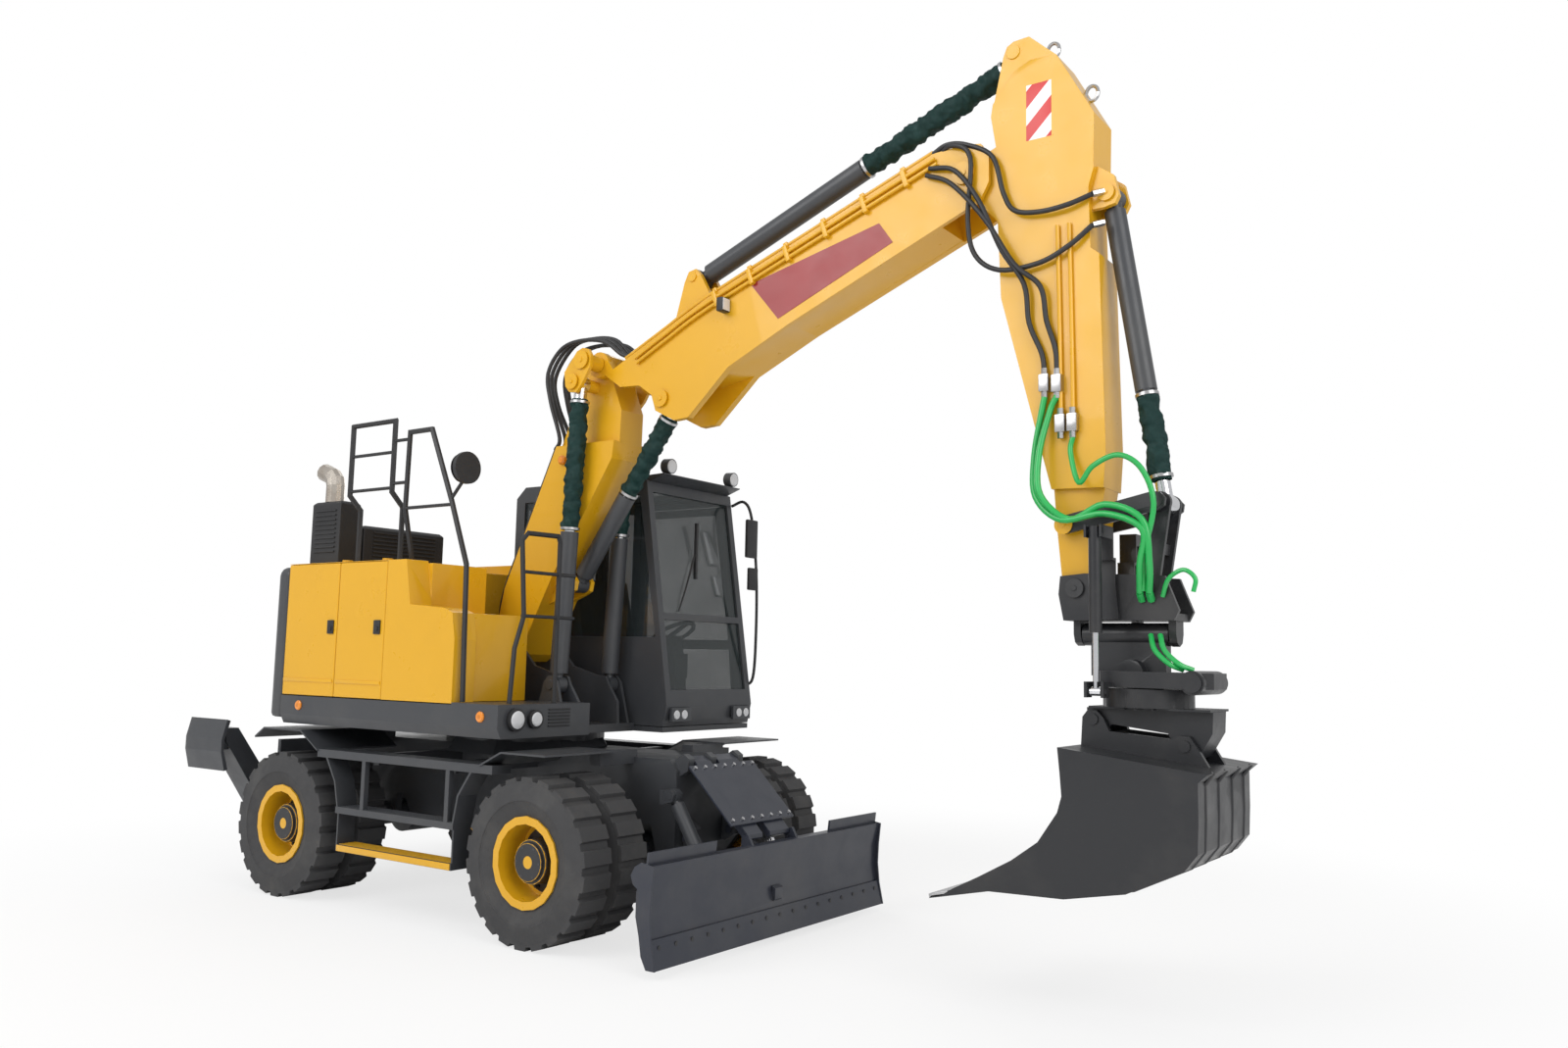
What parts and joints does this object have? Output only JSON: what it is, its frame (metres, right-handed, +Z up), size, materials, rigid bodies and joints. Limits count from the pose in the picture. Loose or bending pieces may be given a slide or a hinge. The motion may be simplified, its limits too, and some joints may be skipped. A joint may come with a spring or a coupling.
{
  "type": "wheeled excavator",
  "caption": "Wheeled excavator with a two-piece boom, tiltrotator bucket, dozer blade, rear outriggers, cab and opening service doors.",
  "frame": {"origin": "On the ground plane, midway between the wheels of the front axle.", "axes": "+X forward along the chassis, +Y to the left, +Z up"},
  "size_m": [7.938, 2.6128, 5.4951],
  "materials": {
    "yellow_paint": "satin yellow-orange paint",
    "dark_grey_paint": "satin dark grey paint",
    "tyre_rubber": "dusty black rubber",
    "rail_paint": "black rail paint",
    "tool_grey": "worn tool grey",
    "chrome_rod": "polished rod chrome",
    "stainless": "stainless tube",
    "sleeve_fabric": "dark green-black woven sleeve over a steel rod",
    "window_glass": "clear tinted glass",
    "seat_cover": "dark seat and consoles"
  },
  "bodies": {
    "chassis": {"chassis_frame": "dark_grey_paint", "axles": "dark_grey_paint", "steps_fenders": "dark_grey_paint"},
    "knuckle_left": {"knuckle_left": "dark_grey_paint"},
    "knuckle_right": {"knuckle_right": "dark_grey_paint"},
    "wheel_front_left": {"tyres_front_left": "tyre_rubber", "rims_front_left": "yellow_paint"},
    "wheel_front_right": {"tyres_front_right": "tyre_rubber", "rims_front_right": "yellow_paint"},
    "wheel_rear_left": {"tyres_rear_left": "tyre_rubber", "rims_rear_left": "yellow_paint"},
    "wheel_rear_right": {"tyres_rear_right": "tyre_rubber", "rims_rear_right": "yellow_paint"},
    "blade_arms": {"blade_arms": "dark_grey_paint"},
    "blade": {"blade": "dark_grey_paint"},
    "blade_cover": {"blade_cover": "dark_grey_paint"},
    "blade_barrels": {"blade_barrels": "dark_grey_paint"},
    "blade_rods": {"blade_rods": "chrome_rod"},
    "outrigger_left": {"outrigger_left": "dark_grey_paint"},
    "outrigger_right": {"outrigger_right": "dark_grey_paint"},
    "house": {"revolving_frame": "dark_grey_paint", "counterweight": "dark_grey_paint", "body_panels": "yellow_paint", "engine_block": "dark_grey_paint", "muffler_cover": "dark_grey_paint", "exhaust_pipe": "stainless", "handrails": "rail_paint", "cab_shell": "dark_grey_paint", "cab_glass": "window_glass", "seat_console": "seat_cover"},
    "door_right_rear": {"door_right_rear": "yellow_paint"},
    "door_right_middle": {"door_right_middle": "yellow_paint"},
    "door_left": {"door_left": "yellow_paint"},
    "engine_hood": {"engine_hood": "dark_grey_paint"},
    "cab_door": {"cab_door": "dark_grey_paint", "cab_door_glass": "window_glass"},
    "lower_boom": {"lower_boom": "yellow_paint"},
    "upper_boom": {"upper_boom": "yellow_paint"},
    "stick": {"stick": "yellow_paint"},
    "rocker": {"rocker": "tool_grey"},
    "bucket_link": {"bucket_link": "tool_grey"},
    "tilt_head": {"tilt_head": "tool_grey"},
    "tilt_frame": {"tilt_frame": "tool_grey"},
    "tilt_barrel_left": {"tilt_barrel_left": "tool_grey"},
    "tilt_barrel_right": {"tilt_barrel_right": "tool_grey"},
    "tilt_rod_left": {"tilt_rod_left": "chrome_rod"},
    "tilt_rod_right": {"tilt_rod_right": "chrome_rod"},
    "bucket": {"rotor_hitch": "tool_grey", "bucket": "tool_grey"},
    "lift_barrels": {"lift_barrels": "dark_grey_paint"},
    "lift_rods": {"lift_rods": "sleeve_fabric"},
    "adjust_barrel": {"adjust_barrel": "dark_grey_paint"},
    "adjust_rod": {"adjust_rod": "sleeve_fabric"},
    "stick_barrel": {"stick_barrel": "dark_grey_paint"},
    "stick_rod": {"stick_rod": "sleeve_fabric"},
    "bucket_barrel": {"bucket_barrel": "dark_grey_paint"},
    "bucket_rod": {"bucket_rod": "sleeve_fabric"}
  },
  "joints": [
    {"name": "slew", "type": "hinge", "parent": "chassis", "child": "house", "pos_m": [-1.3, 0, 1.25], "axis": [0, 0, 1], "continuous": true},
    {"name": "steer_left", "type": "hinge", "parent": "chassis", "child": "knuckle_left", "pos_m": [0, 0.78, 0.525], "axis": [0, 0, 1], "range_deg": [-27, 27]},
    {"name": "steer_right", "type": "hinge", "parent": "chassis", "child": "knuckle_right", "pos_m": [0, -0.78, 0.525], "axis": [0, 0, 1], "range_deg": [-28, 28]},
    {"name": "wheel_front_left_spin", "type": "hinge", "parent": "knuckle_left", "child": "wheel_front_left", "pos_m": [0, 0.97, 0.525], "axis": [0, 1, 0], "continuous": true},
    {"name": "wheel_front_right_spin", "type": "hinge", "parent": "knuckle_right", "child": "wheel_front_right", "pos_m": [0, -0.97, 0.525], "axis": [0, 1, 0], "continuous": true},
    {"name": "wheel_rear_left_spin", "type": "hinge", "parent": "chassis", "child": "wheel_rear_left", "pos_m": [-2.6, 0.97, 0.525], "axis": [0, 1, 0], "continuous": true},
    {"name": "wheel_rear_right_spin", "type": "hinge", "parent": "chassis", "child": "wheel_rear_right", "pos_m": [-2.6, -0.97, 0.525], "axis": [0, 1, 0], "continuous": true},
    {"name": "blade_lift", "type": "hinge", "parent": "chassis", "child": "blade_arms", "pos_m": [0.5, 0, 0.64], "axis": [0, -1, 0], "range_deg": [-8, 35]},
    {"name": "blade_level", "type": "hinge", "parent": "blade_arms", "child": "blade", "pos_m": [0.925, 0, 0.235], "axis": [0, -1, 0], "range_deg": [-36, 9]},
    {"name": "blade_link", "type": "hinge", "parent": "chassis", "child": "blade_cover", "pos_m": [0.48, 0, 1.11], "axis": [0, -1, 0], "range_deg": [-8, 31.6]},
    {"name": "blade_cylinder_barrel", "type": "hinge", "parent": "chassis", "child": "blade_barrels", "pos_m": [0.48, 0, 0.905], "axis": [0, -1, 0], "range_deg": [-6.44, 24.79]},
    {"name": "blade_cylinder_rod", "type": "slide", "parent": "blade_barrels", "child": "blade_rods", "axis": [0.5411, 0, -0.8409], "range_m": [-0.1077, 0.0323]},
    {"name": "outrigger_left_swing", "type": "hinge", "parent": "chassis", "child": "outrigger_left", "pos_m": [-3.61, 0.7, 0.48], "axis": [-1, 0, 0], "range_deg": [0, 78]},
    {"name": "outrigger_right_swing", "type": "hinge", "parent": "chassis", "child": "outrigger_right", "pos_m": [-3.61, -0.7, 0.48], "axis": [1, 0, 0], "range_deg": [0, 78]},
    {"name": "door_right_rear_hinge", "type": "hinge", "parent": "house", "child": "door_right_rear", "pos_m": [-2.684, -1.245, 1.962], "axis": [0, 0, -1], "range_deg": [0, 110]},
    {"name": "door_right_middle_hinge", "type": "hinge", "parent": "house", "child": "door_right_middle", "pos_m": [-1.506, -1.245, 1.962], "axis": [0, 0, 1], "range_deg": [0, 110]},
    {"name": "door_left_hinge", "type": "hinge", "parent": "house", "child": "door_left", "pos_m": [-2.684, 1.245, 1.962], "axis": [0, 0, 1], "range_deg": [0, 110]},
    {"name": "engine_hood_hinge", "type": "hinge", "parent": "house", "child": "engine_hood", "pos_m": [-2.686, -0.475, 2.461], "axis": [0, -1, 0], "range_deg": [0, 70]},
    {"name": "cab_door_hinge", "type": "hinge", "parent": "house", "child": "cab_door", "pos_m": [-1.318, 1.262, 2.2], "axis": [0, 0, 1], "range_deg": [0, 160]},
    {"name": "lower_boom_swing", "type": "hinge", "parent": "house", "child": "lower_boom", "pos_m": [-1.18, -0.165, 1.85], "axis": [0, 1, 0], "range_deg": [-10, 45]},
    {"name": "lift_cylinder_barrel", "type": "hinge", "parent": "house", "child": "lift_barrels", "pos_m": [-0.6, -0.165, 1.6], "axis": [0, -1, 0], "range_deg": [-45.42, 10.87]},
    {"name": "lift_cylinder_rod", "type": "slide", "parent": "lift_barrels", "child": "lift_rods", "axis": [0.0524, 0, 0.9986], "range_m": [-0.471, 0.1124]},
    {"name": "upper_boom_swing", "type": "hinge", "parent": "lower_boom", "child": "upper_boom", "pos_m": [-0.4, -0.165, 3.92], "axis": [0, -1, 0], "range_deg": [-35, 12]},
    {"name": "adjust_cylinder_barrel", "type": "hinge", "parent": "lower_boom", "child": "adjust_barrel", "pos_m": [-0.69, -0.165, 2.33], "axis": [0, -1, 0], "range_deg": [-1.35, 2.03]},
    {"name": "adjust_cylinder_rod", "type": "slide", "parent": "adjust_barrel", "child": "adjust_rod", "axis": [0.5788, 0, 0.8155], "range_m": [-0.4176, 0.1498]},
    {"name": "stick_swing", "type": "hinge", "parent": "upper_boom", "child": "stick", "pos_m": [2.545, -0.165, 4.725], "axis": [0, -1, 0], "range_deg": [-24, 55]},
    {"name": "stick_cylinder_barrel", "type": "hinge", "parent": "upper_boom", "child": "stick_barrel", "pos_m": [0.4, -0.165, 4.47], "axis": [0, -1, 0], "range_deg": [-4.46, 8.94]},
    {"name": "stick_cylinder_rod", "type": "slide", "parent": "stick_barrel", "child": "stick_rod", "axis": [0.9313, 0, 0.3642], "range_m": [-0.5818, 0.2595]},
    {"name": "bucket_curl", "type": "hinge", "parent": "stick", "child": "tilt_head", "pos_m": [3.208, -0.165, 2.232], "axis": [0, 1, 0], "range_deg": [-48, 40]},
    {"name": "rocker_swing", "type": "hinge", "parent": "stick", "child": "rocker", "pos_m": [3.157, -0.165, 2.58], "axis": [0, -1, 0], "range_deg": [-32.8, 39.16]},
    {"name": "link_swing", "type": "hinge", "parent": "rocker", "child": "bucket_link", "pos_m": [3.669, -0.165, 2.688], "axis": [0, -1, 0], "range_deg": [-29.56, 24.8]},
    {"name": "bucket_cylinder_barrel", "type": "hinge", "parent": "stick", "child": "bucket_barrel", "pos_m": [3.39, -0.165, 4.455], "axis": [0, -1, 0], "range_deg": [-2.15, 1.96]},
    {"name": "bucket_cylinder_rod", "type": "slide", "parent": "bucket_barrel", "child": "bucket_rod", "axis": [0.156, 0, -0.9878], "range_m": [-0.3357, 0.2814]},
    {"name": "tilt", "type": "hinge", "parent": "tilt_head", "child": "tilt_frame", "pos_m": [3.45, -0.165, 1.985], "axis": [1, 0, 0], "range_deg": [-40, 40]},
    {"name": "tilt_left_barrel", "type": "hinge", "parent": "tilt_head", "child": "tilt_barrel_left", "pos_m": [3.393, 0.165, 2.521], "axis": [1, 0, 0], "range_deg": [-15.64, 15.64]},
    {"name": "tilt_left_rod", "type": "slide", "parent": "tilt_barrel_left", "child": "tilt_rod_left", "axis": [0, 0, -1], "range_m": [-0.2367, 0.2367]},
    {"name": "tilt_right_barrel", "type": "hinge", "parent": "tilt_head", "child": "tilt_barrel_right", "pos_m": [3.393, -0.495, 2.521], "axis": [1, 0, 0], "range_deg": [-15.64, 15.64]},
    {"name": "tilt_right_rod", "type": "slide", "parent": "tilt_barrel_right", "child": "tilt_rod_right", "axis": [0, 0, -1], "range_m": [-0.2367, 0.2367]},
    {"name": "rotor_turn", "type": "hinge", "parent": "tilt_frame", "child": "bucket", "pos_m": [3.56, -0.165, 1.7], "axis": [0, 0, 1], "continuous": true}
  ],
  "couplings": [
    {"joint": "steer_right", "follows": "steer_left", "ratio": 1},
    {"joint": "blade_level", "follows": "blade_lift", "ratio": -1},
    {"joint": "blade_link", "follows": "blade_lift", "ratio": 0.8738},
    {"joint": "blade_cylinder_barrel", "follows": "blade_lift", "ratio": 0.67959},
    {"joint": "blade_cylinder_rod", "follows": "blade_lift", "m_per_rad": -0.15989},
    {"joint": "lift_cylinder_barrel", "follows": "lower_boom_swing", "ratio": -0.98709},
    {"joint": "lift_cylinder_rod", "follows": "lower_boom_swing", "m_per_rad": -0.5869},
    {"joint": "adjust_cylinder_barrel", "follows": "upper_boom_swing", "ratio": -0.02949},
    {"joint": "adjust_cylinder_rod", "follows": "upper_boom_swing", "m_per_rad": 0.6673},
    {"joint": "stick_cylinder_barrel", "follows": "stick_swing", "ratio": 0.14431},
    {"joint": "stick_cylinder_rod", "follows": "stick_swing", "m_per_rad": -0.59571},
    {"joint": "rocker_swing", "follows": "bucket_curl", "ratio": -0.7951},
    {"joint": "link_swing", "follows": "bucket_curl", "ratio": 0.5951},
    {"joint": "bucket_cylinder_barrel", "follows": "bucket_curl", "ratio": 0.02403},
    {"joint": "bucket_cylinder_rod", "follows": "bucket_curl", "m_per_rad": 0.38875},
    {"joint": "tilt_left_barrel", "follows": "tilt", "ratio": 0.36594},
    {"joint": "tilt_left_rod", "follows": "tilt", "m_per_rad": -0.32474},
    {"joint": "tilt_right_barrel", "follows": "tilt", "ratio": 0.36594},
    {"joint": "tilt_right_rod", "follows": "tilt", "m_per_rad": 0.32474}
  ]
}
